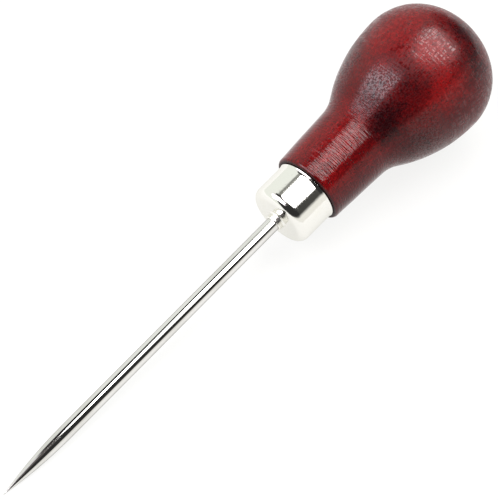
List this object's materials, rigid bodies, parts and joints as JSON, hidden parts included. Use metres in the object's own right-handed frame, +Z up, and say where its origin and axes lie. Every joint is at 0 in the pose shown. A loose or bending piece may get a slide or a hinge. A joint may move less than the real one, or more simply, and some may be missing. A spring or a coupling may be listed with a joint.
{
  "type": "scratch awl",
  "caption": "Scratch awl: slim round steel blade with a long point, plated cup ferrule with a collar, and turned lacquered wood handle with a palm bulb.",
  "frame": {"origin": "centre of the bounding box at the height of the surface that the awl rests on (Z = 0)", "axes": "the awl lies on its side, with its point and its bulb touching Z = 0: +X towards the butt of the handle, +Z up, and the awl's own axis lies in the XZ plane, rising 7.0 degrees towards the butt"},
  "size_m": [0.1352, 0.03, 0.0301],
  "materials": {
    "lacquered_wood": "dark red stained hardwood under clear satin lacquer",
    "nickel_plate": "bright nickel plate",
    "polished_steel": "polished steel",
    "cured_glue": "cured two-part glue, hidden in the bore"
  },
  "bodies": {
    "root": {"handle": "lacquered_wood", "ferrule": "nickel_plate", "blade": "polished_steel", "tang_glue": "cured_glue"}
  },
  "joints": []
}
